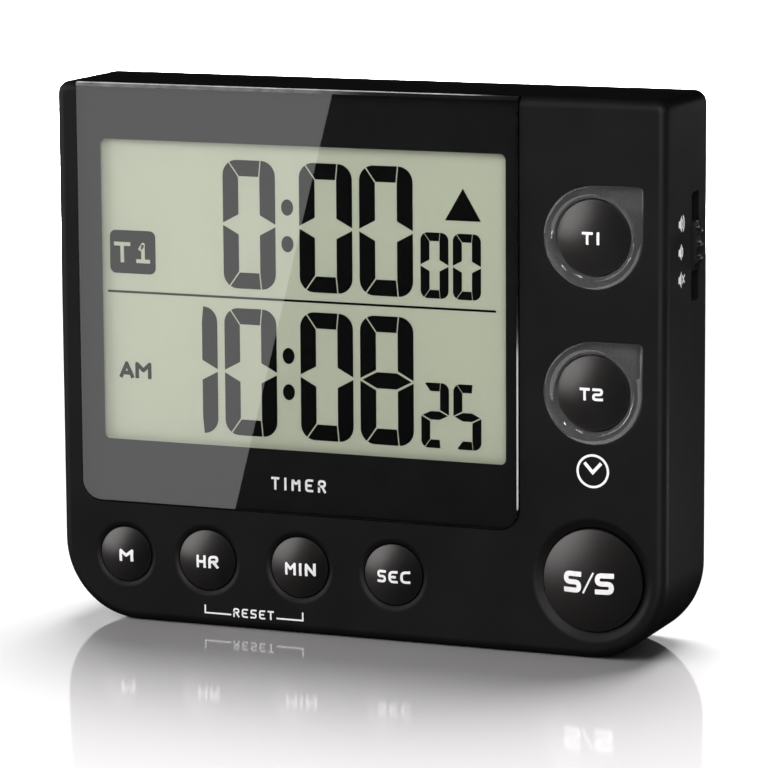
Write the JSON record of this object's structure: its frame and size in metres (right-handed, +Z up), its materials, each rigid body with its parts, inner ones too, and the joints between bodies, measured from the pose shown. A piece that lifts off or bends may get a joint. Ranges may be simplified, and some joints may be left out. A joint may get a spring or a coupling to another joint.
{
  "type": "lab timer",
  "caption": "Upright bench timer with a large display, domed push keys, clear light rings, a side volume slide, a folding rear stand and a battery door.",
  "frame": {"origin": "on the base, midway across the case's width and depth", "axes": "+X to the right seen from the front, +Y from the display face to the back, +Z up"},
  "size_m": [0.1012, 0.0212, 0.085],
  "materials": {
    "case_black": "fine spark-eroded matte black moulding",
    "key_black": "satin black moulded caps",
    "panel_clear": "polished clear acrylic, black print on the back round the window",
    "adhesive": "black double-sided tape",
    "polariser_film": "satin polarising film",
    "display_glass": "float glass",
    "reflector_film": "grey-green reflective film",
    "tray_white": "white moulding",
    "strip_rubber": "pink and black layered silicone",
    "ring_clear": "polished clear acrylic",
    "led_red": "tinted epoxy",
    "keypad_rubber": "grey silicone",
    "board_green": "green solder resist",
    "chip_resin": "black epoxy",
    "tinned_steel": "nickel-plated steel",
    "capacitor_sleeve": "blue sleeve",
    "capacitor_ceramic": "tan ceramic",
    "coil_ferrite": "grey ferrite",
    "switch_shell": "tinned steel shell",
    "lever_white": "white nylon",
    "buzzer_brass": "sheet brass",
    "buzzer_ceramic": "silvered ceramic",
    "cell_wrap": "printed sleeve",
    "lead_red": "PVC",
    "lead_black": "PVC",
    "magnet_nickel": "nickel plate"
  },
  "bodies": {
    "root": {"front_housing": "case_black", "rear_housing": "case_black", "display_panel": "panel_clear", "panel_adhesive": "adhesive", "front_polariser": "polariser_film", "lcd_front_glass": "display_glass", "lcd_rear_glass": "display_glass", "rear_polariser": "reflector_film", "lcd_tray": "tray_white", "contact_strip": "strip_rubber", "timer_1_light_ring": "ring_clear", "timer_2_light_ring": "ring_clear", "timer_1_led": "led_red", "timer_2_led": "led_red", "keypad_mat": "keypad_rubber", "circuit_board": "board_green", "controller_chip": "chip_resin", "crystal": "tinned_steel", "electrolytic_capacitor": "capacitor_sleeve", "ceramic_capacitors": "capacitor_ceramic", "resistors": "chip_resin", "driver_transistor": "chip_resin", "booster_coil": "coil_ferrite", "volume_switch_body": "switch_shell", "buzzer_plate": "buzzer_brass", "buzzer_ceramic": "buzzer_ceramic", "battery_cell_1": "cell_wrap", "battery_cell_2": "cell_wrap", "contact_springs": "tinned_steel", "bridge_contact": "tinned_steel", "positive_contact": "tinned_steel", "negative_contact": "tinned_steel", "battery_lead_red": "lead_red", "battery_lead_black": "lead_black", "buzzer_leads": "lead_red", "magnets": "magnet_nickel", "case_screws": "tinned_steel", "board_screws": "tinned_steel"},
    "memory_key": {"memory_key": "key_black"},
    "hour_key": {"hour_key": "key_black"},
    "minute_key": {"minute_key": "key_black"},
    "second_key": {"second_key": "key_black"},
    "start_stop_key": {"start_stop_key": "key_black"},
    "timer_1_key": {"timer_1_key": "key_black"},
    "timer_2_key": {"timer_2_key": "key_black"},
    "volume_slide": {"volume_knob": "key_black", "volume_switch_lever": "lever_white"},
    "battery_door": {"battery_door": "case_black"},
    "stand": {"stand": "case_black"}
  },
  "joints": [
    {"name": "memory_key_press", "type": "slide", "parent": "root", "child": "memory_key", "axis": [0, 1, 0], "range_m": [0, 0.001], "stiffness_N_per_m": 1500, "deforming": ["keypad_mat"]},
    {"name": "hour_key_press", "type": "slide", "parent": "root", "child": "hour_key", "axis": [0, 1, 0], "range_m": [0, 0.001], "stiffness_N_per_m": 1500, "deforming": ["keypad_mat"]},
    {"name": "minute_key_press", "type": "slide", "parent": "root", "child": "minute_key", "axis": [0, 1, 0], "range_m": [0, 0.001], "stiffness_N_per_m": 1500, "deforming": ["keypad_mat"]},
    {"name": "second_key_press", "type": "slide", "parent": "root", "child": "second_key", "axis": [0, 1, 0], "range_m": [0, 0.001], "stiffness_N_per_m": 1500, "deforming": ["keypad_mat"]},
    {"name": "start_stop_key_press", "type": "slide", "parent": "root", "child": "start_stop_key", "axis": [0, 1, 0], "range_m": [0, 0.001], "stiffness_N_per_m": 2000, "deforming": ["keypad_mat"]},
    {"name": "timer_1_key_press", "type": "slide", "parent": "root", "child": "timer_1_key", "axis": [0, 1, 0], "range_m": [0, 0.001], "stiffness_N_per_m": 1500, "deforming": ["keypad_mat"]},
    {"name": "timer_2_key_press", "type": "slide", "parent": "root", "child": "timer_2_key", "axis": [0, 1, 0], "range_m": [0, 0.001], "stiffness_N_per_m": 1500, "deforming": ["keypad_mat"]},
    {"name": "volume_slide", "type": "slide", "parent": "root", "child": "volume_slide", "axis": [0, 0, 1], "range_m": [-0.0042, 0.0042]},
    {"name": "battery_door_hinge", "type": "hinge", "parent": "root", "child": "battery_door", "pos_m": [0, 0.00898, 0.04392], "axis": [-1, 0, 0], "range_deg": [0, 80]},
    {"name": "stand_hinge", "type": "hinge", "parent": "root", "child": "stand", "pos_m": [0, 0.00855, 0.0394], "axis": [1, 0, 0], "range_deg": [0, 65]}
  ]
}
